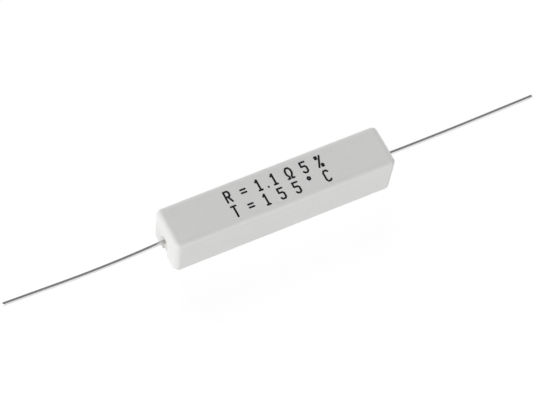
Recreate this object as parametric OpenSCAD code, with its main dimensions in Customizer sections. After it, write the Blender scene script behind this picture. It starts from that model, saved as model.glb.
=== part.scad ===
// Axial power resistor: a wire-wound core, cast in cement inside a pressed ceramic trough.
// The part lies on the open rim of its trough, with its closed, printed face up.
// X runs along the leads, Z stands on the rim, and the origin is the middle of the underside.

/* [Case] */
// Length of the case, at its closed face
case_l = 48; // [44:1:60]
// Width of the case
case_w = 9.5; // [8:0.1:14]
// Height of the case, from the open rim to the closed face
case_h = 10; // [8:0.2:14]
// Thickness of the long side walls, at the rim
side_wall_t = 1.3; // [1:0.1:1.8]
// Thickness of the end walls, at the rim
end_wall_t = 1.6; // [1.2:0.1:3]
// Thickness of the closed face
roof_t = 1.3; // [1:0.1:2]
// Radius of the outer edges, round the closed face and down the corners
edge_r = 1.2; // [0.6:0.1:1.6]
// Radius of the outer edge round the rim
rim_r = 0.9; // [0.3:0.1:0.9]
// How far each end face leans in, from the closed face down to the rim
end_lean = 0.3; // [0:0.05:0.8]
// Draft of the walls inside the trough, in degrees
draft = 1.5; // [0:0.25:2]
// Radius of the inner corners along the closed face
inner_r = 1.4; // [0.6:0.1:2]
// Width of the lead slots in the end walls, at the lead
slot_w = 2; // [1.4:0.1:3]

/* [Cement] */
// How far the cement stays below the rim
fill_recess = 0.3; // [0.1:0.05:0.6]
// How far the cement in the slots stays behind the end faces, at the rim
slot_recess = 0.7; // [0.1:0.05:1]
// How far it stays behind the end faces at the slots' heads, over the leads
head_recess = 0.1; // [0.05:0.05:0.5]
// Thickness of the cement between each end cap and its end wall
end_cover = 2.4; // [1.2:0.2:5]
// Thickness of the cement round the winding, where it comes closest to the case
winding_cover = 0.26; // [0.1:0.02:0.8]

/* [Core and winding] */
// Size of the chamfer on the core's ends
core_chamfer = 0.2; // [0.1:0.05:0.4]
// Diameter of the resistance wire
wire_d = 0.45; // [0.25:0.05:0.5]
// Turns of the winding, from weld to weld
turns = 21; // [14:1:26]
// Length of the winding that lies on each end cap
cap_lap = 2; // [1.6:0.2:3]

/* [End caps] */
// Length of each end cap
cap_l = 5; // [4:0.2:7]
// Thickness of the cap's sheet
cap_t = 0.3; // [0.2:0.05:0.35]
// Outer radius of the drawn corner at the cap's closed end
cap_corner_r = 0.6; // [0.4:0.1:0.9]

/* [Leads] */
// Diameter of the leads
lead_d = 0.8; // [0.6:0.05:1]
// Length of each lead outside the case
lead_l = 34; // [28:1:42]
// Length of the straight stretch at each lead's tip
lead_tip_l = 12; // [6:1:18]
// Length of each lead that stays straight outside the case, before its first bend
lead_stub_l = 0.6; // [0.4:0.1:2]
// Length of the straight stretch between a lead's first bend and its long bow
lead_set_l = 1.5; // [0.6:0.1:4]
// Radius of the first bend, along the lead's middle
bend_r = 8; // [4:1:16]
// How much the lead's radius has thinned along its bends
bend_thin = 0.005; // [0.004:0.001:0.01]
// Angle of the left lead's first bend, in degrees
left_bend = 2.8; // [0.4:0.2:6]
// Angle that the left lead's long bow turns back by, in degrees
left_bow = 4.5; // [1:0.5:9]
// Angle of the right lead's first bend, in degrees
right_bend = 0.4; // [0.4:0.2:6]
// Angle that the right lead's long bow turns back by, in degrees
right_bow = 1.4; // [1:0.2:9]
// Diameter of the upset foot where a lead is butt-welded to its cap
foot_d = 1.7; // [1.2:0.1:2.2]
// Length of the foot's taper
foot_l = 0.5; // [0.3:0.1:1]

/* [Clearances] */
// Gap between the cap and the core that it is pressed on
cap_gap = 0.02; // [0.01:0.01:0.05]
// Gap between the winding and what it is wound on
wire_gap = 0.02; // [0.01:0.01:0.05]
// Gap between the cement and the pieces cast into it
cast_gap = 0.03; // [0.01:0.01:0.06]

/* [Hidden] */

CERAMIC = "#eeede8";
CEMENT = "#dedcd4";
CORE = "#f4efe2";
COPPER_NICKEL = "#b39a7e";
STEEL = "#a9adb0";
TINNED = "#c3c5c6";

EDGE_FN = 32;
ROUND_FN = 48;
BEND_FN = 720;
BEND_LAP = 0.15;
TURN_STEPS = 20;
WIRE_SIDES = 8;
CUT = 1;

// Stations along X, from the end face inwards
lead_z = case_h / 2;
rim_end_x = case_l / 2 - end_lean;
cavity_end_x = rim_end_x - end_wall_t;
cap_end_x = cavity_end_x - draft_in(lead_z) - end_cover;
cap_mouth_x = cap_end_x - cap_l;
core_end_x = cap_end_x - cap_t;
wind_end_x = cap_mouth_x + cap_lap;

// Faces of the trough's hollow: its roof, and its side walls at the rim
hollow_z = case_h - roof_t;
hollow_y = case_w / 2 - side_wall_t;
lower_edge_r = min(rim_r, edge_r);

// Radii round the leads' axis, inwards from the hollow's nearest wall.
// A straight step of the wire dips towards the axis by the factor chord.
lead_r = lead_d / 2;
wire_r = wire_d / 2;
chord = cos(180 / TURN_STEPS);
room_r = min(hollow_y - draft_in(lead_z), hollow_z - lead_z, lead_z - fill_recess);
cap_wind_r = room_r - winding_cover - cast_gap - wire_r;
cap_r = cap_wind_r * chord - wire_r - wire_gap;
cap_in_r = cap_r - cap_t;
core_r = cap_in_r - cap_gap;
core_wind_r = (core_r + wire_gap + wire_r) / chord;

// The wire has climbed to the cap's level just before it meets the cap's mouth
climb_end_x = cap_mouth_x - wire_d;
climb_l = 3 * (cap_wind_r - core_wind_r);
climb_start_x = climb_end_x - climb_l;
wind_pitch = 2 * wind_end_x / turns;

// How far a drafted inner wall has moved in at height z above the rim
function draft_in(z) = z * tan(draft);

// Station of the leaning end face at height z, between its two roundings
function end_face_x(z) =
    rim_end_x + end_lean * (z - lower_edge_r) / (case_h - edge_r - lower_edge_r);

// Points of an arc about [x, y], from angle a to angle b
function arc(x, y, r, a, b, n = 8) =
    [for (i = [0:n]) [x + r * cos(a + (b - a) * i / n), y + r * sin(a + (b - a) * i / n)]];

// Turns a shape drawn in X and Y, and raised along Z, so that Y points up and it runs along X
module along_x() {
    rotate([90, 0, 90]) children();
}

// A piece of the right end, or the same piece turned half round for the left end
module at_end(side) {
    rotate([0, 0, side > 0 ? 0 : 180]) children();
}

// Upper end of a corner of the case: a dome
module corner_top() {
    rotate_extrude($fn = EDGE_FN)
        polygon(concat([[0, 0]], arc(0, 0, edge_r, 0, 90)));
}

// Lower end of a corner of the case: a disc with a rounded lower edge
module corner_foot() {
    r = lower_edge_r;
    rotate_extrude($fn = EDGE_FN)
        polygon(concat([[0, 0]], arc(edge_r - r, r, r, -90, 0), [[0, r]]));
}

// Outside of the case, drawn over its eight corners
module case_block() {
    corner_y = case_w / 2 - edge_r;
    hull()
        for (side_x = [-1, 1], side_y = [-1, 1]) {
            translate([side_x * (case_l / 2 - edge_r), side_y * corner_y, case_h - edge_r])
                corner_top();
            translate([side_x * (rim_end_x - edge_r), side_y * corner_y, 0])
                corner_foot();
        }
}

// Cross-section of the trough's hollow, from height low_z up: drafted walls, rounded corners
module hollow_section(low_z) {
    shoulder_z = hollow_z - inner_r;
    shoulder_y = hollow_y - draft_in(shoulder_z);
    low_y = hollow_y - draft_in(low_z);
    polygon([[-low_y, low_z], [low_y, low_z], [shoulder_y, shoulder_z], [-shoulder_y, shoulder_z]]);
    for (side = [-1, 1])
        translate([side * (shoulder_y - inner_r), shoulder_z]) circle(r = inner_r, $fn = ROUND_FN);
    translate([inner_r - shoulder_y, low_z]) square([2 * (shoulder_y - inner_r), hollow_z - low_z]);
}

// The trough's hollow, from height low_z up, with its two end walls drafted as well
module hollow(low_z) {
    low_x = cavity_end_x - draft_in(low_z);
    top_x = cavity_end_x - draft_in(hollow_z + CUT);
    intersection() {
        translate([-case_l / 2, 0, 0]) along_x() linear_extrude(case_l) hollow_section(low_z);
        translate([0, case_w / 2, 0]) rotate([90, 0, 0]) linear_extrude(case_w)
            polygon([[-low_x, low_z], [low_x, low_z], [top_x, hollow_z + CUT], [-top_x, hollow_z + CUT]]);
    }
}

// Outline of a lead slot, from height low_z up: drafted sides under a round head at the lead
module slot_section(low_z) {
    low_y = slot_w / 2 + draft_in(lead_z - low_z);
    circle_r = slot_w / 2;
    translate([0, lead_z]) circle(r = circle_r, $fn = ROUND_FN);
    polygon([[-low_y, low_z], [low_y, low_z], [circle_r, lead_z], [-circle_r, lead_z]]);
}

// A lead slot of the right end, from inside the hollow out to to_x
module slot(low_z, to_x) {
    from_x = cavity_end_x - draft_in(hollow_z) - CUT;
    translate([from_x, 0, 0]) along_x() linear_extrude(to_x - from_x) slot_section(low_z);
}

module ceramic_case() {
    color(CERAMIC)
        difference() {
            case_block();
            hollow(-CUT);
            for (side = [-1, 1])
                at_end(side) slot(-CUT, case_l / 2 + CUT);
        }
}

// Half outline of what is cast into the cement, as [distance along X, radius]
module cast_outline() {
    g = cast_gap;
    polygon([
        [0, 0],
        [0, core_wind_r + wire_r + g],
        [climb_start_x - wire_r - g, core_wind_r + wire_r + g],
        [climb_start_x - wire_r - g, cap_wind_r + wire_r + g],
        [wind_end_x + wire_d + g, cap_wind_r + wire_r + g],
        [wind_end_x + wire_d + g, cap_r + g],
        [cap_end_x + g, cap_r + g],
        [cap_end_x + g, foot_d / 2 + g],
        [cap_end_x + foot_l + g, lead_r + g],
        [case_l / 2 + CUT, lead_r + g],
        [case_l / 2 + CUT, 0]
    ]);
}

// The cement in a slot of the right end: nearly flush over the lead, shrunk back towards the rim
module slot_plug() {
    head_z = lead_z + slot_w / 2;
    head_x = end_face_x(head_z) - head_recess;
    low_x = rim_end_x - slot_recess;
    intersection() {
        slot(fill_recess, case_l / 2);
        translate([0, slot_w, 0]) rotate([90, 0, 0]) linear_extrude(2 * slot_w)
            polygon([[0, fill_recess], [low_x, fill_recess], [head_x, head_z], [0, head_z]]);
    }
}

module cement_fill() {
    color(CEMENT)
        difference() {
            union() {
                hollow(fill_recess);
                for (side = [-1, 1])
                    at_end(side) slot_plug();
            }
            for (side = [-1, 1])
                at_end(side) translate([0, 0, lead_z]) rotate([0, 90, 0])
                    rotate_extrude($fn = ROUND_FN) rotate([0, 0, 90]) mirror([0, 1]) cast_outline();
        }
}

module ceramic_core() {
    color(CORE)
        translate([0, 0, lead_z]) rotate([0, 90, 0])
            rotate_extrude($fn = ROUND_FN)
                polygon([
                    [0, -core_end_x],
                    [core_r - core_chamfer, -core_end_x],
                    [core_r, core_chamfer - core_end_x],
                    [core_r, core_end_x - core_chamfer],
                    [core_r - core_chamfer, core_end_x],
                    [0, core_end_x]
                ]);
}

// Radius of the winding's centre line at station x: on the core, then up on to the caps
function wind_r(x) =
    let (climb = min(max((abs(x) - climb_start_x) / climb_l, 0), 1))
    core_wind_r + (cap_wind_r - core_wind_r) * climb * climb * (3 - 2 * climb);

// Point on the wire's surface: station x, turn angle a round the core, side angle b round the wire
function wire_point(x, a, b) =
    let (lead_angle = atan(wind_pitch / (360 * wind_r(x) * PI / 180)),
         out = wind_r(x) + wire_r * cos(b),
         across = wire_r * sin(b))
    [x + across * cos(lead_angle),
     out * cos(a) + across * sin(lead_angle) * sin(a),
     out * sin(a) - across * sin(lead_angle) * cos(a)];

// The winding: one wire, swept ring by ring along a helix, closed with a flat face at each end
module resistance_winding() {
    steps = turns * TURN_STEPS;
    points = [for (i = [0:steps], j = [0:WIRE_SIDES - 1])
        wire_point(-wind_end_x + 2 * wind_end_x * i / steps, 360 * i / TURN_STEPS, 360 * j / WIRE_SIDES)];
    sides = [for (i = [0:steps - 1], j = [0:WIRE_SIDES - 1])
        let (k = (j + 1) % WIRE_SIDES, ring = i * WIRE_SIDES, next = ring + WIRE_SIDES)
        [ring + j, ring + k, next + k, next + j]];
    first_end = [for (j = [0:WIRE_SIDES - 1]) WIRE_SIDES - 1 - j];
    last_end = [for (j = [0:WIRE_SIDES - 1]) steps * WIRE_SIDES + j];
    color(COPPER_NICKEL)
        translate([0, 0, lead_z])
            polyhedron(points, concat(sides, [first_end, last_end]), convexity = 10);
}

// A drawn steel cap, with its closed end and rounded corner outwards
module end_cap(side) {
    color(STEEL)
        at_end(side) translate([cap_end_x, 0, lead_z]) rotate([0, -90, 0])
            rotate_extrude($fn = ROUND_FN) difference() {
                union() {
                    square([cap_r - cap_corner_r, cap_l]);
                    translate([0, cap_corner_r]) square([cap_r, cap_l - cap_corner_r]);
                    translate([cap_r - cap_corner_r, cap_corner_r])
                        circle(r = cap_corner_r, $fn = ROUND_FN);
                }
                translate([-CUT, cap_t]) square([cap_in_r + CUT, cap_l]);
            }
}

module left_end_cap() {
    end_cap(-1);
}

module right_end_cap() {
    end_cap(1);
}

// A straight stretch of lead along +X, with what follows it as children
module lead_straight(l) {
    rotate([0, 90, 0]) cylinder(h = l, r = lead_r, $fn = ROUND_FN);
    translate([l, 0, 0]) children();
}

// A bent stretch of lead that leaves along +X and turns towards +Y, or -Y where side is -1.
// It runs a little way into the straight stretches before and after it.
module lead_turn(r, angle, side) {
    lap = BEND_LAP / r * 180 / PI;
    mirror([0, side > 0 ? 0 : 1, 0])
        translate([0, r, 0]) rotate([0, 0, -90 - lap])
            rotate_extrude(angle = angle + 2 * lap, $fn = BEND_FN)
                translate([r, 0]) circle(r = lead_r - bend_thin, $fn = ROUND_FN);
    translate([0, side * r, 0]) rotate([0, 0, side * angle]) translate([0, -side * r, 0]) children();
}

// A lead of the right end: its foot on the cap, out through the slot, one bend, a long bow, its tip
module lead(bend, bow, side) {
    bow_l = lead_l - lead_stub_l - bend_r * bend * PI / 180 - lead_set_l - lead_tip_l;
    color(TINNED)
        translate([cap_end_x, 0, lead_z]) {
            rotate([0, 90, 0]) cylinder(h = foot_l, r1 = foot_d / 2, r2 = lead_r, $fn = ROUND_FN);
            lead_straight(case_l / 2 + lead_stub_l - cap_end_x)
                lead_turn(bend_r, bend, side)
                    lead_straight(lead_set_l)
                        lead_turn(bow_l * 180 / PI / bow, bow, -side)
                            lead_straight(lead_tip_l);
        }
}

module left_lead() {
    at_end(-1) lead(left_bend, left_bow, 1);
}

module right_lead() {
    lead(right_bend, right_bow, -1);
}

ceramic_case();
cement_fill();
ceramic_core();
resistance_winding();
left_end_cap();
right_end_cap();
left_lead();
right_lead();
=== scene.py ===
import math

import bmesh
import bpy
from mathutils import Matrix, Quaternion, Vector


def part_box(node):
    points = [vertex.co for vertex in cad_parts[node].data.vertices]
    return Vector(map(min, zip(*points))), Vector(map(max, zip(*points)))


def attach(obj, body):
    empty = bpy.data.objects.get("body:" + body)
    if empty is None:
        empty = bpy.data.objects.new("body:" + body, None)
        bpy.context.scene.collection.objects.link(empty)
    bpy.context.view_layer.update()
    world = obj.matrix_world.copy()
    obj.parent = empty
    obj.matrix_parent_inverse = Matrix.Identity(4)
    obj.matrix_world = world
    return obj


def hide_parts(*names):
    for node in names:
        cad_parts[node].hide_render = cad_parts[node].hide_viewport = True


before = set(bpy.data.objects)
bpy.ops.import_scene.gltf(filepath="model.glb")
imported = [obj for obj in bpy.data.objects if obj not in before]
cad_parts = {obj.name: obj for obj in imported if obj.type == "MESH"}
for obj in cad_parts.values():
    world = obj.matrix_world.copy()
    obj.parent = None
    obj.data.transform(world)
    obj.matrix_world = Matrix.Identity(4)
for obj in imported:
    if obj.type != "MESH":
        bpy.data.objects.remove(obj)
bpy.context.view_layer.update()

# Sizes are in millimetres, and so is a piece while it is modelled; it is scaled to metres when done
MM = 0.001


def box_mm(node):
    """Lowest and highest corner of a CAD node, in millimetres."""
    return [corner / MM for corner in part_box(node)]


case_low, case_high = box_mm("ceramic_case")
axis_z = (case_low.z + case_high.z) / 2


# Camera
# It looks down on the printed face from the front left, with a long lens, as the photograph
# does, and is rolled so that the leads climb to the right.
camera_aim = Vector((-1.576, 0.450, 4.690))
camera_distance = 595.5
camera_azimuth = math.radians(-34.4)
camera_elevation = math.radians(59.1)
camera_roll = math.radians(9.07)
camera_lens = 206.5

camera_back = Vector((
    math.sin(camera_azimuth) * math.cos(camera_elevation),
    -math.cos(camera_azimuth) * math.cos(camera_elevation),
    math.sin(camera_elevation),
))
bpy.ops.object.camera_add(location=(camera_aim + camera_back * camera_distance) * MM)
camera = bpy.context.object
camera.rotation_mode = "QUATERNION"
level_view = (-camera_back).to_track_quat("-Z", "Y")
camera.rotation_quaternion = level_view @ Quaternion((0, 0, 1), camera_roll)
camera.data.lens = camera_lens
camera.data.clip_start = 0.01
camera.data.clip_end = 20
bpy.context.scene.camera = camera
bpy.context.scene.view_settings.view_transform = "Standard"


# Studio
# A pale table under three low, soft lights, the main one from the left, the others from the right
# and from behind. A grey card hangs over the table, for the wire to show its form.
floor_size = 12000
floor_colour = "#cacaca"
# How much of the light on the table the camera sees; the rest up to white is even
shadow_share = 0.14
open_floor_level = 0.70
# Just over the picture's white, so that the open table shows as white
white_level = 1.01
room_level = 0.20
# Each light: where from, its level on a sheet that faces it, its spread, and whether gloss shows it
lights = (
    (Vector((-0.960, -0.190, 0.205)), 0.79, math.radians(26), True),
    (Vector((0.520, -0.822, 0.228)), 0.44, math.radians(26), False),
    (Vector((0.165, 0.872, 0.461)), 0.61, math.radians(40), False),
)
card_width = 1600
card_front = -350
card_back = 2500
card_height = 340
card_colour = "#818385"


def linear(hex_colour):
    """Turns an sRGB hex colour into linear red, green, blue and alpha."""
    shares = [int(hex_colour[i:i + 2], 16) / 255 for i in (1, 3, 5)]
    return [s / 12.92 if s <= 0.04045 else ((s + 0.055) / 1.055) ** 2.4 for s in shares] + [1]


def add_node(owner, kind, settings=None, values=None, links=None):
    """Adds a shader node: settings are its own choices, values its constants, links its inputs."""
    made = owner.node_tree.nodes.new(kind)
    for name, value in (settings or {}).items():
        setattr(made, name, value)
    for socket, value in (values or {}).items():
        made.inputs[socket].default_value = value
    for socket, source in (links or {}).items():
        owner.node_tree.links.new(source, made.inputs[socket])
    return made


def empty_material(name):
    """A material with no nodes yet."""
    material = bpy.data.materials.new(name)
    material.use_nodes = True
    material.node_tree.nodes.clear()
    return material


def background_rays(owner):
    """1 for rays that show the background: those of the camera, of gloss and through glass."""
    path = add_node(owner, "ShaderNodeLightPath")
    gloss = add_node(owner, "ShaderNodeMath", {"operation": "MAXIMUM"},
                     links={0: path.outputs["Is Glossy Ray"], 1: path.outputs["Is Transmission Ray"]})
    seen = add_node(owner, "ShaderNodeMath", {"operation": "MAXIMUM"},
                    links={0: path.outputs["Is Camera Ray"], 1: gloss.outputs[0]})
    return seen.outputs[0]


def dress(piece, material):
    """Gives the piece this one material."""
    piece.data.materials.clear()
    piece.data.materials.append(material)


room = bpy.data.worlds.new("room")
bpy.context.scene.world = room
room.use_nodes = True
room.node_tree.nodes.clear()
room_light = add_node(room, "ShaderNodeBackground",
                      values={"Color": linear("#ffffff"), "Strength": room_level})
room_white = add_node(room, "ShaderNodeBackground",
                      values={"Color": linear("#ffffff"), "Strength": 1})
room_mix = add_node(room, "ShaderNodeMixShader", links={
    0: background_rays(room), 1: room_light.outputs[0], 2: room_white.outputs[0]})
add_node(room, "ShaderNodeOutputWorld", links={"Surface": room_mix.outputs[0]})

bpy.ops.object.select_all(action="DESELECT")
bpy.ops.mesh.primitive_plane_add(size=floor_size * MM)
floor = bpy.context.object
floor.name = "floor"
table_paper = empty_material("matt_white_paper")
table_light = add_node(table_paper, "ShaderNodeBsdfDiffuse", values={"Color": linear(floor_colour)})
seen_share = [shadow_share] * 3 + [1]
seen_light = add_node(table_paper, "ShaderNodeBsdfDiffuse", values={"Color": seen_share})
seen_white = add_node(table_paper, "ShaderNodeEmission", values={
    "Color": linear("#ffffff"), "Strength": white_level - shadow_share * open_floor_level})
seen_floor = add_node(table_paper, "ShaderNodeAddShader",
                      links={0: seen_light.outputs[0], 1: seen_white.outputs[0]})
floor_mix = add_node(table_paper, "ShaderNodeMixShader", links={
    0: background_rays(table_paper), 1: table_light.outputs[0], 2: seen_floor.outputs[0]})
add_node(table_paper, "ShaderNodeOutputMaterial", links={"Surface": floor_mix.outputs[0]})
dress(floor, table_paper)

card_middle = Vector((0, (card_front + card_back) / 2, card_height))
bpy.ops.mesh.primitive_plane_add(size=MM, location=card_middle * MM)
card = bpy.context.object
card.name = "grey_card"
card.scale = (card_width, card_back - card_front, 1)
bpy.ops.object.transform_apply(scale=True)
card.visible_camera = False
card.visible_diffuse = False
card.visible_transmission = False
card.visible_shadow = False
card_paper = empty_material("grey_card")
card_glow = add_node(card_paper, "ShaderNodeEmission", values={"Color": linear(card_colour), "Strength": 1})
add_node(card_paper, "ShaderNodeOutputMaterial", links={"Surface": card_glow.outputs[0]})
dress(card, card_paper)

for light_from, light_level, light_spread, light_shows in lights:
    bpy.ops.object.light_add(type="SUN", location=light_from)
    light = bpy.context.object
    light.rotation_mode = "QUATERNION"
    light.rotation_quaternion = light_from.to_track_quat("Z", "Y")
    light.data.energy = light_level * math.pi
    light.data.angle = light_spread
    light.visible_glossy = light_shows


# Ceramic core
# A pressed and fired rod of cream-white cordierite, with its ends chamfered. It carries the
# winding and stays cool enough inside the cement not to crack.
core_grain = 0.12
core_relief = 0.006


def new_material(name, **values):
    """A material with a principled shader and its output; returns it with the shader."""
    material = empty_material(name)
    shader = add_node(material, "ShaderNodeBsdfPrincipled", values=values)
    add_node(material, "ShaderNodeOutputMaterial", links={"Surface": shader.outputs[0]})
    return material, shader


def object_places(material, stretch=(1, 1, 1)):
    """Places on the piece in metres, stretched along each axis."""
    places = add_node(material, "ShaderNodeTexCoord")
    scaled = add_node(material, "ShaderNodeMapping", values={"Scale": stretch},
                      links={"Vector": places.outputs["Object"]})
    return scaled.outputs[0]


def join_to(material, shader, socket, source):
    """Links a source to one socket of the shader."""
    material.node_tree.links.new(source, shader.inputs[socket])


# Unglazed and fired: fine grained, with no shine
cordierite, core_shader = new_material("cordierite", Roughness=0.72, IOR=1.55)
core_places = object_places(cordierite)
core_noise = add_node(cordierite, "ShaderNodeTexNoise",
                      values={"Scale": 1 / (core_grain * MM), "Detail": 3}, links={"Vector": core_places})
core_tone = add_node(cordierite, "ShaderNodeMix", {"data_type": "RGBA"},
                     values={6: linear("#ece5d4"), 7: linear("#faf6ea")},
                     links={0: core_noise.outputs[0]})
core_bump = add_node(cordierite, "ShaderNodeBump", values={"Strength": 0.5, "Distance": core_relief * MM},
                     links={"Height": core_noise.outputs[0]})
join_to(cordierite, core_shader, "Base Color", core_tone.outputs[2])
join_to(cordierite, core_shader, "Normal", core_bump.outputs[0])
dress(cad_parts["ceramic_core"], cordierite)


# Resistance winding
# One length of drawn copper-nickel wire, wound on the core under tension, with its last turns
# on the caps, where they are spot-welded.
draw_mark = 0.02
draw_tarnish = 1.5

# Drawn through a die and left dull: warm grey, with faint brown patches
constantan, wire_shader = new_material("constantan", Metallic=1)
wire_noise = add_node(constantan, "ShaderNodeTexNoise",
                      values={"Scale": 1 / (draw_tarnish * MM), "Detail": 4},
                      links={"Vector": object_places(constantan)})
wire_tone = add_node(constantan, "ShaderNodeMix", {"data_type": "RGBA"},
                     values={6: linear("#b9a183"), 7: linear("#a18b72")},
                     links={0: wire_noise.outputs[0]})
wire_marks = add_node(constantan, "ShaderNodeTexNoise", values={"Scale": 1 / (draw_mark * MM)},
                      links={"Vector": object_places(constantan, (1, 0.1, 0.1))})
wire_dull = add_node(constantan, "ShaderNodeMapRange", values={"To Min": 0.28, "To Max": 0.46},
                     links={"Value": wire_marks.outputs[0]})
join_to(constantan, wire_shader, "Base Color", wire_tone.outputs[2])
join_to(constantan, wire_shader, "Roughness", wire_dull.outputs[0])
dress(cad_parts["resistance_winding"], constantan)


# End caps
# Two cups drawn from thin steel sheet and tinned, pressed on to the ends of the core.
cap_drawing = 0.25

# Drawn sheet: fine lines run the way the punch moved, along the core
tinned_steel, cap_shader = new_material("tinned_steel", Metallic=1)
cap_lines = add_node(tinned_steel, "ShaderNodeTexNoise",
                     values={"Scale": 1 / (cap_drawing * MM), "Detail": 5},
                     links={"Vector": object_places(tinned_steel, (0.08, 1, 1))})
cap_tone = add_node(tinned_steel, "ShaderNodeMix", {"data_type": "RGBA"},
                    values={6: linear("#9fa3a6"), 7: linear("#b6babd")},
                    links={0: cap_lines.outputs[0]})
cap_dull = add_node(tinned_steel, "ShaderNodeMapRange", values={"To Min": 0.3, "To Max": 0.5},
                    links={"Value": cap_lines.outputs[0]})
join_to(tinned_steel, cap_shader, "Base Color", cap_tone.outputs[2])
join_to(tinned_steel, cap_shader, "Roughness", cap_dull.outputs[0])
for cap_name in ("left_end_cap", "right_end_cap"):
    dress(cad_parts[cap_name], tinned_steel)


# Leads
# Two hot-tinned copper wires, butt-welded to the caps by an upset foot. They come out through the
# slots, were set a little off line when the case was filled, and were cut from the reel.
lead_r = 0.4
lead_l = 34
lead_tip_l = 12
lead_stub_l = 0.6
lead_set_l = 1.5
foot_r = 0.85
foot_l = 0.5
bend_r = 8
bend_steps = 6
bow_steps = 24
# Each lead's bend beside the case, and its long slight bow
lead_bends = {"left": (math.radians(2.8), math.radians(4.5)),
              "right": (math.radians(0.4), math.radians(1.4))}
cut_l = 0.16
cut_bevel = 0.05
# What the cutters leave of the wire's width and height at its very end
cut_shape = (1, 0.86, 0.52)
lead_sides = 32
tin_streak = 0.09
tin_ripple = 1.1
tin_relief = 0.02
# Points of a mesh that lie nearer to one another than this are one point
merge_reach = 0.0005
# How far out from the case the tin is darkened by painted shade, and how much of its colour is left at the
# case
root_shade_l = 1.2
root_shade_share = 0.58


def new_piece(name):
    """Names the primitive that was just added, and puts its place into its mesh."""
    piece = bpy.context.object
    piece.name = name
    piece.data.name = name
    bpy.ops.object.transform_apply(location=True, rotation=True, scale=True)
    return piece


def extrude(move):
    """Extrudes what is selected along move."""
    bpy.ops.mesh.extrude_region_move(TRANSFORM_OT_translate={"value": move})


def resize(shares, centre):
    """Resizes what is selected by a share along each axis, about a point."""
    bpy.ops.transform.resize(value=shares, center_override=centre)


def outward_faces():
    """Turns every face of the open mesh outwards."""
    bpy.ops.mesh.select_all(action="SELECT")
    bpy.ops.mesh.remove_doubles(threshold=merge_reach)
    bpy.ops.mesh.normals_make_consistent(inside=False)


def finish_piece(piece, angle):
    """Scales the piece to metres, and shades it smooth but for edges sharper than the angle."""
    bpy.ops.object.mode_set(mode="OBJECT")
    bpy.ops.object.select_all(action="DESELECT")
    piece.select_set(True)
    bpy.context.view_layer.objects.active = piece
    piece.scale = (MM, MM, MM)
    bpy.ops.object.transform_apply(scale=True)
    bpy.ops.object.shade_smooth_by_angle(angle=angle)


def bend_on(place, heading, radius, angle, steps):
    """Spins the lead's end round a bend, to the left where the angle is above 0; gives its new place."""
    side = Vector((-heading.y, heading.x, 0)) * math.copysign(radius, angle)
    centre = place + side
    bpy.ops.mesh.spin(steps=steps, angle=-angle, center=centre, axis=(0, 0, 1))
    turned = Quaternion((0, 0, 1), angle)
    return centre + turned @ (place - centre), turned @ heading


def model_lead(name, side, bend, bow):
    """One lead, drawn from its foot outwards; side is 1 for the right lead and -1 for the left."""
    lead_low, lead_high = box_mm(name)
    foot_x = lead_low.x if side > 0 else lead_high.x
    heading = Vector((side, 0, 0))
    place = Vector((foot_x, 0, axis_z))
    bpy.ops.object.select_all(action="DESELECT")
    bpy.ops.mesh.primitive_circle_add(vertices=lead_sides, radius=foot_r, fill_type="NGON",
                                      location=place, rotation=(0, side * math.pi / 2, 0))
    lead = new_piece(name + "_wire")
    bpy.ops.object.mode_set(mode="EDIT")
    bpy.ops.mesh.select_all(action="SELECT")
    extrude(heading * foot_l)
    place += heading * foot_l
    resize((1, lead_r / foot_r, lead_r / foot_r), place)
    inner_l = abs(case_high.x) + lead_stub_l - abs(place.x)
    extrude(heading * inner_l)
    place += heading * inner_l
    place, heading = bend_on(place, heading, bend_r, -side * bend, bend_steps)
    extrude(heading * lead_set_l)
    place += heading * lead_set_l
    bow_l = lead_l - lead_stub_l - bend_r * bend - lead_set_l - lead_tip_l
    place, heading = bend_on(place, heading, bow_l / bow, side * bow, bow_steps)
    extrude(heading * (lead_tip_l - cut_l))
    place += heading * (lead_tip_l - cut_l)
    extrude(heading * cut_l)
    place += heading * cut_l
    resize(cut_shape, place)
    bpy.ops.mesh.bevel(offset=cut_bevel, segments=2, affect="EDGES")
    outward_faces()
    finish_piece(lead, math.radians(35))
    return lead


# Hot-dipped tin: satin grey, with streaks along the wire and slow ripples where it froze, and darker
# with painted shade where it comes out of the case
tinned_copper, lead_shader = new_material("tinned_copper", Metallic=1)
lead_streaks = add_node(tinned_copper, "ShaderNodeTexNoise",
                        values={"Scale": 1 / (tin_streak * MM), "Detail": 4},
                        links={"Vector": object_places(tinned_copper, (0.03, 1, 1))})
lead_ripples = add_node(tinned_copper, "ShaderNodeTexNoise",
                        values={"Scale": 1 / (tin_ripple * MM), "Detail": 2},
                        links={"Vector": object_places(tinned_copper)})
lead_tone = add_node(tinned_copper, "ShaderNodeMix", {"data_type": "RGBA"},
                     values={6: linear("#dcdddd"), 7: linear("#ebebea")},
                     links={0: lead_streaks.outputs[0]})
lead_station = add_node(tinned_copper, "ShaderNodeSeparateXYZ", links={0: object_places(tinned_copper)})
lead_reach = add_node(tinned_copper, "ShaderNodeMath", {"operation": "ABSOLUTE"},
                      links={0: lead_station.outputs["X"]})
# Painted shade: the tin's colour is darkened towards the case, where the lead comes out of its slot
lead_root_shade = add_node(tinned_copper, "ShaderNodeMapRange",
                      values={"From Min": case_high.x * MM, "From Max": (case_high.x + root_shade_l) * MM,
                              "To Min": root_shade_share, "To Max": 1},
                      links={"Value": lead_reach.outputs[0]})
lead_colour = add_node(tinned_copper, "ShaderNodeMix", {"data_type": "RGBA", "blend_type": "MULTIPLY"},
                       values={0: 1}, links={6: lead_tone.outputs[2], 7: lead_root_shade.outputs[0]})
lead_dull = add_node(tinned_copper, "ShaderNodeMapRange", values={"To Min": 0.16, "To Max": 0.34},
                     links={"Value": lead_streaks.outputs[0]})
lead_bump = add_node(tinned_copper, "ShaderNodeBump", values={"Strength": 0.5, "Distance": tin_relief * MM},
                     links={"Height": lead_ripples.outputs[0]})
join_to(tinned_copper, lead_shader, "Base Color", lead_colour.outputs[2])
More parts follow.
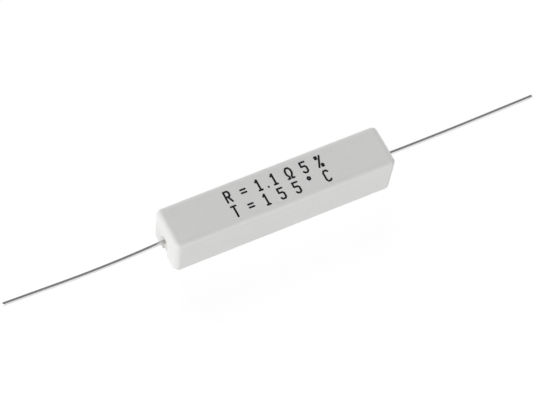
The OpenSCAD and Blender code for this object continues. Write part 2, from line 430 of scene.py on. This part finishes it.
join_to(tinned_copper, lead_shader, "Roughness", lead_dull.outputs[0])
join_to(tinned_copper, lead_shader, "Normal", lead_bump.outputs[0])

for lead_name, lead_side in (("left", -1), ("right", 1)):
    lead_wire = model_lead(lead_name + "_lead", lead_side, *lead_bends[lead_name])
    dress(lead_wire, tinned_copper)
    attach(lead_wire, "root")
    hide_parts(lead_name + "_lead")


# Ceramic case
# A trough of steatite, pressed dry in a die and fired white, and left unglazed. It is open on the
# side that it lies on, and each end wall has a slot that the lead is laid into from that side.
side_wall_t = 1.3
end_wall_t = 1.6
roof_t = 1.3
edge_r = 1.2
rim_r = 0.9
end_lean = 0.3
draft = math.tan(math.radians(1.5))
inner_r = 1.4
slot_r = 1
# Rounding of a slot's head, as a share of its radius: a little less, so that its two sides don't meet
head_round = 0.98
# How far the pin that presses a slot reaches into the hollow
slot_overlap = 0.6
slot_mouth_r = 0.32
broken_edge = 0.07
# How far the forms that are cut out reach past the case
past = 1
# How near to a level a face, edge or point still lies on it, and how fine a cut is
hair = 0.01
cut_reach = 0.0001
steatite_grain = 0.16
steatite_cloud = 5
steatite_relief = 0.010

# How far an end face leans out over each millimetre of its height, between its two roundings
lean = end_lean / (case_high.z - edge_r - rim_r)
half_l = case_high.x
half_w = case_high.y
roof_z = case_high.z - roof_t
hollow_half_l = half_l - end_lean - end_wall_t
hollow_half_w = half_w - side_wall_t


def pick(kind, test):
    """Selects the vertices, edges or faces of the open mesh that pass the test."""
    bpy.ops.mesh.select_mode(type=kind)
    bpy.ops.mesh.select_all(action="DESELECT")
    shape = bmesh.from_edit_mesh(bpy.context.edit_object.data)
    for item in {"VERT": shape.verts, "EDGE": shape.edges, "FACE": shape.faces}[kind]:
        if test(item):
            item.select_set(True)
    shape.select_flush_mode()
    bmesh.update_edit_mesh(bpy.context.edit_object.data)


def middle(item):
    """The middle of an edge or face."""
    return sum((v.co for v in item.verts), Vector()) / len(item.verts)


def add_block(name, low, high):
    """Adds a block between two corners and opens it for editing."""
    bpy.ops.object.select_all(action="DESELECT")
    bpy.ops.mesh.primitive_cube_add(size=1, location=(low + high) / 2, scale=high - low)
    block = new_piece(name)
    bpy.ops.object.mode_set(mode="EDIT")
    return block


def hollow_form():
    """The punch that presses the hollow: drafted sides, rounded along the roof. It ends below the rim."""
    low_half_l = hollow_half_l + past * draft
    low_half_w = hollow_half_w + past * draft
    form = add_block("hollow_form", Vector((-low_half_l, -low_half_w, -past)),
                     Vector((low_half_l, low_half_w, roof_z)))
    pick("FACE", lambda face: face.normal.z > 0.5)
    drawn_in = (roof_z + past) * draft
    resize((1 - drawn_in / low_half_l, 1 - drawn_in / low_half_w, 1), (0, 0, roof_z))
    pick("EDGE", lambda edge: middle(edge).z > roof_z - hair and abs(middle(edge).x) < hair)
    bpy.ops.mesh.bevel(offset=inner_r, segments=10, affect="EDGES")
    bpy.ops.object.mode_set(mode="OBJECT")
    return form


def slot_form(side):
    """The pin that presses one lead slot: drafted sides under a round head."""
    low_half_w = slot_r + (axis_z + past) * draft
    head_z = axis_z + slot_r
    ends = sorted((side * (hollow_half_l - slot_overlap), side * (half_l + past)))
    form = add_block("slot_form", Vector((ends[0], -slot_r, -past)), Vector((ends[1], slot_r, head_z)))
    bpy.ops.mesh.select_all(action="SELECT")
    bpy.ops.mesh.bisect(plane_co=(0, 0, axis_z), plane_no=(0, 0, 1), threshold=cut_reach)
    pick("FACE", lambda face: face.normal.z < -0.5)
    resize((1, low_half_w / slot_r, 1), (0, 0, -past))
    pick("EDGE", lambda edge: middle(edge).z > head_z - hair and abs(middle(edge).y) > slot_r - hair)
    bpy.ops.mesh.bevel(offset=head_round * slot_r, segments=10, affect="EDGES")
    bpy.ops.object.mode_set(mode="OBJECT")
    return form


def use_modifier(piece, kind, **settings):
    """Adds a modifier to the piece and applies it."""
    bpy.ops.object.select_all(action="DESELECT")
    piece.select_set(True)
    bpy.context.view_layer.objects.active = piece
    modifier = piece.modifiers.new(kind.lower(), kind)
    for name, value in settings.items():
        setattr(modifier, name, value)
    bpy.ops.object.modifier_apply(modifier=modifier.name)


def combine(piece, other, operation):
    """Cuts the other form out of the piece, or joins it on, and removes the form."""
    use_modifier(piece, "BOOLEAN", object=other, operation=operation, solver="EXACT")
    bpy.data.objects.remove(other)


def mouth_edge(edge):
    """True for the edges that a slot has on the end face, down to where the rim is rounded."""
    ends = edge.verts
    outside = min(abs(point.co.x) for point in ends) > half_l - end_lean - rim_r / 3
    beside = max(abs(point.co.y) for point in ends) < slot_r + axis_z * draft + hair
    return outside and beside and any(abs(face.normal.x) < 0.5 for face in edge.link_faces)


case = add_block("case_body", case_low, case_high)
pick("FACE", lambda face: face.normal.z > 0.5)
resize((1 + lean * edge_r / half_l, 1, 1), (0, 0, case_high.z))
pick("FACE", lambda face: face.normal.z < -0.5)
resize((1 - (end_lean + lean * rim_r) / half_l, 1, 1), (0, 0, case_low.z))
pick("EDGE", lambda edge: max(v.co.z for v in edge.verts) > axis_z)
bpy.ops.mesh.bevel(offset=edge_r, segments=10, affect="EDGES")
pick("EDGE", lambda edge: max(v.co.z for v in edge.verts) < case_low.z + hair)
bpy.ops.mesh.bevel(offset=rim_r, segments=8, affect="EDGES")
outward_faces()
bpy.ops.object.mode_set(mode="OBJECT")
combine(case, hollow_form(), "DIFFERENCE")
for slot_side in (-1, 1):
    combine(case, slot_form(slot_side), "DIFFERENCE")
bpy.context.view_layer.objects.active = case
bpy.ops.object.mode_set(mode="EDIT")
pick("EDGE", mouth_edge)
bpy.ops.mesh.bevel(offset=slot_mouth_r, segments=4, affect="EDGES")
bpy.ops.object.mode_set(mode="OBJECT")
use_modifier(case, "BEVEL", width=broken_edge, segments=2, limit_method="ANGLE",
             angle_limit=math.radians(50))
finish_piece(case, math.radians(40))
use_modifier(case, "WEIGHTED_NORMAL", keep_sharp=True)

# Dry-pressed and fired without a glaze: an even, cool white with a fine grain and hardly any shine
steatite, case_shader = new_material("steatite", Roughness=0.58, IOR=1.6)
case_places = object_places(steatite)
case_grain = add_node(steatite, "ShaderNodeTexNoise",
                      values={"Scale": 1 / (steatite_grain * MM), "Detail": 4},
                      links={"Vector": case_places})
case_cloud = add_node(steatite, "ShaderNodeTexNoise",
                      values={"Scale": 1 / (steatite_cloud * MM), "Detail": 3},
                      links={"Vector": case_places})
case_base = add_node(steatite, "ShaderNodeMix", {"data_type": "RGBA"},
                     values={6: linear("#e4e4e3"), 7: linear("#e9e8e7")},
                     links={0: case_cloud.outputs[0]})
case_fleck = add_node(steatite, "ShaderNodeMapRange",
                      values={"From Min": 0.3, "From Max": 0.7, "To Min": 0.955, "To Max": 1.02},
                      links={"Value": case_grain.outputs[0]})
case_tone = add_node(steatite, "ShaderNodeMix", {"data_type": "RGBA", "blend_type": "MULTIPLY"},
                     values={0: 1}, links={6: case_base.outputs[2], 7: case_fleck.outputs[0]})
case_bump = add_node(steatite, "ShaderNodeBump",
                     values={"Strength": 0.6, "Distance": steatite_relief * MM},
                     links={"Height": case_grain.outputs[0]})
join_to(steatite, case_shader, "Base Color", case_tone.outputs[2])
join_to(steatite, case_shader, "Normal", case_bump.outputs[0])
dress(case, steatite)
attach(case, "root")
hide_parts("ceramic_case")


# Cement fill
# Silicone-bound cement, poured round the wound core with the trough upside down and baked hard. It
# shows on the open side and in the two slots: gritty, with pores, and drawn up a little at the walls.
fill_recess = 0.3
slot_recess = 0.7
head_recess = 0.05
cast_gap = 0.03
wound_core_r = 2.69
climb_l = 1.7
cement_cell = 0.45
cement_rise = 0.11
rise_reach = 0.7
sag_reach = 5
# Where the surface sags or swells: station, place across, and how far the spot moves up
sags = ((-17, 0.6, 0.07), (-9.5, -0.8, -0.05), (-2, 0.5, 0.06),
        (6, -0.6, 0.04), (12.5, 0.7, -0.05), (18, -0.4, 0.06))
sag_core_r = 0.5
# How far the open side may stray from its level once its edges are drawn up
surface_stray = 0.1
# Blow holes left by air that rose while the cement set: station, place across, and radius
pores = ((-19.2, 1.3, 0.18), (-14.1, -1.6, 0.13), (-11.8, 0.4, 0.2), (-6.3, 1.9, 0.15),
         (-1.2, -1.1, 0.2), (3.6, 1.2, 0.12), (8.9, -2.0, 0.17), (10.2, 0.9, 0.14),
         (15.4, -0.7, 0.19), (19.9, 1.6, 0.15))
# Depth of a blow hole, and how far its wall slopes in, as shares of its radius
pore_depth = 0.8
pore_slope = 0.35
# What is left of the reach of the corners of its square patch, once they are drawn in
pore_round = 0.76
cement_grit = 0.22
cement_relief = 0.05

winding_high = box_mm("resistance_winding")[1]
cap_low, cap_high = box_mm("right_end_cap")
low_plug_x = half_l - end_lean - slot_recess
head_z = axis_z + slot_r
head_plug_x = half_l - end_lean + lean * (head_z - rim_r) - head_recess
plug_slope = (head_plug_x - low_plug_x) / (head_z - fill_recess)


def cut_grid(test, axis, low, high, cell):
    """Cuts the faces that pass the test across the axis into strips of about one cell."""
    direction = Vector((axis == "x", axis == "y", axis == "z"))
    strips = max(round((high - low) / cell), 1)
    for i in range(1, strips):
        pick("FACE", test)
        bpy.ops.mesh.bisect(plane_co=direction * (low + (high - low) * i / strips),
                            plane_no=direction, threshold=cut_reach)


def cut_off(place, direction):
    """Cuts the whole open mesh at a place, and closes it there; what lies that way is dropped."""
    bpy.ops.mesh.select_all(action="SELECT")
    bpy.ops.mesh.bisect(plane_co=place, plane_no=direction, use_fill=True, clear_outer=True,
                        threshold=cut_reach)


def void_form():
    """The room that the wound core, its caps and the leads take up in the cement."""
    cap_r = cap_high.z - axis_z
    wound_r = winding_high.z - axis_z
    waist_x = cap_low.x - climb_l
    half_profile = [(x, r + cast_gap) for x, r in (
        (waist_x, wound_core_r), (waist_x, wound_r), (winding_high.x + cast_gap, wound_r),
        (winding_high.x + cast_gap, cap_r), (cap_high.x + cast_gap, cap_r), (cap_high.x + cast_gap, foot_r),
        (cap_high.x + foot_l + cast_gap, lead_r), (half_l + past, lead_r))]
    profile = [(-x, r) for x, r in reversed(half_profile)] + half_profile
    here_x, here_r = profile[0]
    bpy.ops.object.select_all(action="DESELECT")
    bpy.ops.mesh.primitive_circle_add(vertices=lead_sides, radius=here_r, fill_type="NGON",
                                      location=(here_x, 0, axis_z), rotation=(0, math.pi / 2, 0))
    form = new_piece("void_form")
    bpy.ops.object.mode_set(mode="EDIT")
    bpy.ops.mesh.select_all(action="SELECT")
    for next_x, next_r in profile[1:]:
        extrude(Vector((next_x - here_x, 0, 0)))
        resize((1, next_r / here_r, next_r / here_r), (next_x, 0, axis_z))
        here_x, here_r = next_x, next_r
    outward_faces()
    bpy.ops.object.mode_set(mode="OBJECT")
    return form


def open_face(face):
    """True for the cement's open side."""
    return face.normal.z < -0.9 and middle(face).z < fill_recess + hair


def plug_face(face):
    """True for the end of the cement in a slot."""
    return abs(face.normal.x) > 0.9 and abs(middle(face).x) > low_plug_x - hair


def sink_pore(x, y, radius):
    """Sinks one blow hole into the open side: a round pit with sloping walls."""
    pick("FACE", lambda face: open_face(face) and max(
        abs(middle(face).x - x), abs(middle(face).y - y)) < cement_cell / 2)
    bpy.ops.mesh.inset(thickness=cement_cell / 2 - radius)
    bpy.ops.mesh.subdivide(number_cuts=1)
    shape = bmesh.from_edit_mesh(bpy.context.edit_object.data)
    quarters = [middle(face) for face in shape.faces if face.select]
    spot = sum(quarters, Vector()) / len(quarters)
    # The square patch has eight points round it: its corners, 1.4 radii off, are drawn in to make it round
    pick("VERT", lambda vertex: 1.2 * radius < (vertex.co - spot).length < 1.6 * radius)
    resize((pore_round, pore_round, 1), spot)
    pick("FACE", lambda face: open_face(face) and (middle(face) - spot).length < 0.8 * radius)
    bpy.ops.mesh.inset(thickness=pore_slope * radius, depth=-pore_depth * radius)


def move_softly(move, reach, falloff):
    """Moves what is selected, and what lies within reach of it a little less the further off it is."""
    bpy.ops.transform.translate(value=move, use_proportional_edit=True, proportional_size=reach,
                                proportional_edit_falloff=falloff)


cement = hollow_form()
cement.name = "cement_body"
for slot_side in (-1, 1):
    combine(cement, slot_form(slot_side), "UNION")
bpy.context.view_layer.objects.active = cement
bpy.ops.object.mode_set(mode="EDIT")
cut_off((0, 0, fill_recess), (0, 0, -1))
for slot_side in (-1, 1):
    cut_off((slot_side * low_plug_x, 0, fill_recess), (slot_side, 0, -plug_slope))
bpy.ops.object.mode_set(mode="OBJECT")
combine(cement, void_form(), "DIFFERENCE")
bpy.context.view_layer.objects.active = cement
bpy.ops.object.mode_set(mode="EDIT")
cut_grid(open_face, "x", -low_plug_x, low_plug_x, cement_cell)
cut_grid(open_face, "y", -hollow_half_w, hollow_half_w, cement_cell)
cut_grid(plug_face, "y", -slot_r, slot_r, cement_cell)
cut_grid(plug_face, "z", 0, head_z, cement_cell)
outward_faces()
for pore in pores:
    sink_pore(*pore)
deepest_z = fill_recess + pore_depth * max(radius for _, _, radius in pores)
pick("EDGE", lambda edge: any(open_face(face) for face in edge.link_faces) and not all(
    middle(face).z < deepest_z + hair for face in edge.link_faces))
move_softly((0, 0, -cement_rise), rise_reach, "SHARP")
for sag_x, sag_y, sag_move in sags:
    sag_middle = Vector((sag_x, sag_y))
    pick("VERT", lambda vertex: (vertex.co.xy - sag_middle).length < sag_core_r
         and vertex.co.z < fill_recess + surface_stray)
    move_softly((0, 0, sag_move), sag_reach, "SMOOTH")
finish_piece(cement, math.radians(50))

# Fine sand in a grey-white binder: dull, speckled, with open pores
cement_paste, cement_shader = new_material("silicate_cement", Roughness=0.85, IOR=1.5)
cement_places = object_places(cement_paste)
cement_sand = add_node(cement_paste, "ShaderNodeTexNoise",
                       values={"Scale": 1 / (cement_grit * MM), "Detail": 5},
                       links={"Vector": cement_places})
cement_pores = add_node(cement_paste, "ShaderNodeTexVoronoi", values={"Scale": 0.5 / (cement_grit * MM)},
                        links={"Vector": cement_places})
cement_tone = add_node(cement_paste, "ShaderNodeMix", {"data_type": "RGBA"},
                       values={6: linear("#d2d0c9"), 7: linear("#e9e7e1")},
                       links={0: cement_sand.outputs[0]})
cement_height = add_node(cement_paste, "ShaderNodeMath", {"operation": "ADD"},
                         links={0: cement_sand.outputs[0], 1: cement_pores.outputs[0]})
cement_bump = add_node(cement_paste, "ShaderNodeBump",
                       values={"Strength": 0.8, "Distance": cement_relief * MM},
                       links={"Height": cement_height.outputs[0]})
join_to(cement_paste, cement_shader, "Base Color", cement_tone.outputs[2])
join_to(cement_paste, cement_shader, "Normal", cement_bump.outputs[0])
dress(cement, cement_paste)
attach(cement, "root")
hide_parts("cement_fill")


# Printed rating
# Black epoxy ink, put on the closed face by a pen plotter in strokes of one width: the resistance
# with its tolerance, and below it the highest temperature. The wording and the values are plain ones.
stroke_w = 0.42
ink_h = 0.012
ink_depth = 0.004
glyph_w = 0.98
glyph_h = 2.4
glyph_pitch = 3.3
row_y = {"R=1.1Ω5%": 1.45, "T=155°C": -2.05}
stroke_sides = 12
# Pen strokes of each sign, on a field of this many steps
field_w = 4
field_h = 8
strokes = {
    "R": [[(0, 0), (0, 8), (3, 8), (4, 7), (4, 5), (3, 4), (0, 4)], [(2, 4), (4, 0)]],
    "T": [[(0, 8), (4, 8)], [(2, 8), (2, 0)]],
    "C": [[(4, 7), (3, 8), (1, 8), (0, 6.5), (0, 1.5), (1, 0), (3, 0), (4, 1)]],
    "°": [[(0, 6.6), (0, 7.4), (0.6, 8), (1.4, 8), (2, 7.4), (2, 6.6), (1.4, 6), (0.6, 6), (0, 6.6)]],
    "=": [[(0, 5.2), (4, 5.2)], [(0, 2.8), (4, 2.8)]],
    ".": [[(2, 0), (2, 0.2)]],
    "1": [[(0.6, 6.6), (2, 8), (2, 0)], [(0.6, 0), (3.4, 0)]],
    "5": [[(4, 8), (0, 8), (0, 4.8), (3, 4.8), (4, 3.8), (4, 1), (3, 0), (1, 0), (0, 1)]],
    "Ω": [[(-0.6, 0), (1, 0), (1, 1.4), (-0.4, 3.4), (-0.4, 6.2), (1, 8), (3, 8),
           (4.4, 6.2), (4.4, 3.4), (3, 1.4), (3, 0), (4.6, 0)]],
    "%": [[(4, 8), (0, 0)], [(0, 6.4), (0, 8), (1.2, 8), (1.2, 6.4), (0, 6.4)],
          [(2.8, 0), (2.8, 1.6), (4, 1.6), (4, 0), (2.8, 0)]],
}


def add_stroke(start, end):
    """One pen stroke: a round spot of ink, drawn out to where the pen lifts."""
    along = end - start
    angle = math.atan2(along.y, along.x)
    bpy.ops.mesh.select_all(action="DESELECT")
    bpy.ops.mesh.primitive_circle_add(vertices=stroke_sides, radius=stroke_w / 2, fill_type="NGON",
                                      location=start,
                                      rotation=(0, 0, angle + math.pi / stroke_sides))
    shape = bmesh.from_edit_mesh(bpy.context.edit_object.data)
    for point in shape.verts:
        if point.select and (point.co - start).dot(along) < 0:
            point.select_set(False)
    bpy.ops.transform.translate(value=along)


bpy.ops.object.select_all(action="DESELECT")
bpy.ops.mesh.primitive_circle_add(vertices=stroke_sides, radius=stroke_w / 2, location=(0, 0, 0))
marking = new_piece("printed_rating")
bpy.ops.object.mode_set(mode="EDIT")
bpy.ops.mesh.select_all(action="SELECT")
bpy.ops.mesh.delete(type="VERT")
for row, middle_y in row_y.items():
    signs = row.replace(".", "")
    places = list(enumerate(signs))
    # The point has no place of its own: it stands at the foot of the gap behind its figure
    if "." in row:
        places.append((row.index(".") - 0.5, "."))
    for place, sign in places:
        corner_x = (place - (len(signs) - 1) / 2) * glyph_pitch - glyph_w / 2
        corner = Vector((corner_x, middle_y - glyph_h / 2, case_high.z - ink_depth))
        for line in strokes[sign]:
            points = [corner + Vector((x / field_w * glyph_w, y / field_h * glyph_h, 0))
                      for x, y in line]
            for stroke_start, stroke_end in zip(points, points[1:]):
                add_stroke(stroke_start, stroke_end)
bpy.ops.mesh.select_all(action="SELECT")
extrude(Vector((0, 0, ink_depth + ink_h)))
bpy.ops.mesh.select_all(action="SELECT")
bpy.ops.mesh.normals_make_consistent(inside=False)
# The strokes become one skin of ink. Its shape is the same in each run, but the exact solver may cut
# its flat faces up a little differently.
bpy.ops.mesh.intersect_boolean(operation="UNION", use_self=True, solver="EXACT")
finish_piece(marking, math.radians(30))

# Pen ink on unglazed ceramic: near black, with a faint sheen, thinner where the grain shows through
epoxy_ink, ink_shader = new_material("epoxy_ink", Roughness=0.65, IOR=1.45)
ink_noise = add_node(epoxy_ink, "ShaderNodeTexNoise",
                     values={"Scale": 1 / (steatite_grain * MM), "Detail": 3},
                     links={"Vector": object_places(epoxy_ink)})
ink_tone = add_node(epoxy_ink, "ShaderNodeMix", {"data_type": "RGBA"},
                    values={6: linear("#0b0b0c"), 7: linear("#1f1f21")},
                    links={0: ink_noise.outputs[0]})
join_to(epoxy_ink, ink_shader, "Base Color", ink_tone.outputs[2])
dress(marking, epoxy_ink)
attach(marking, "root")
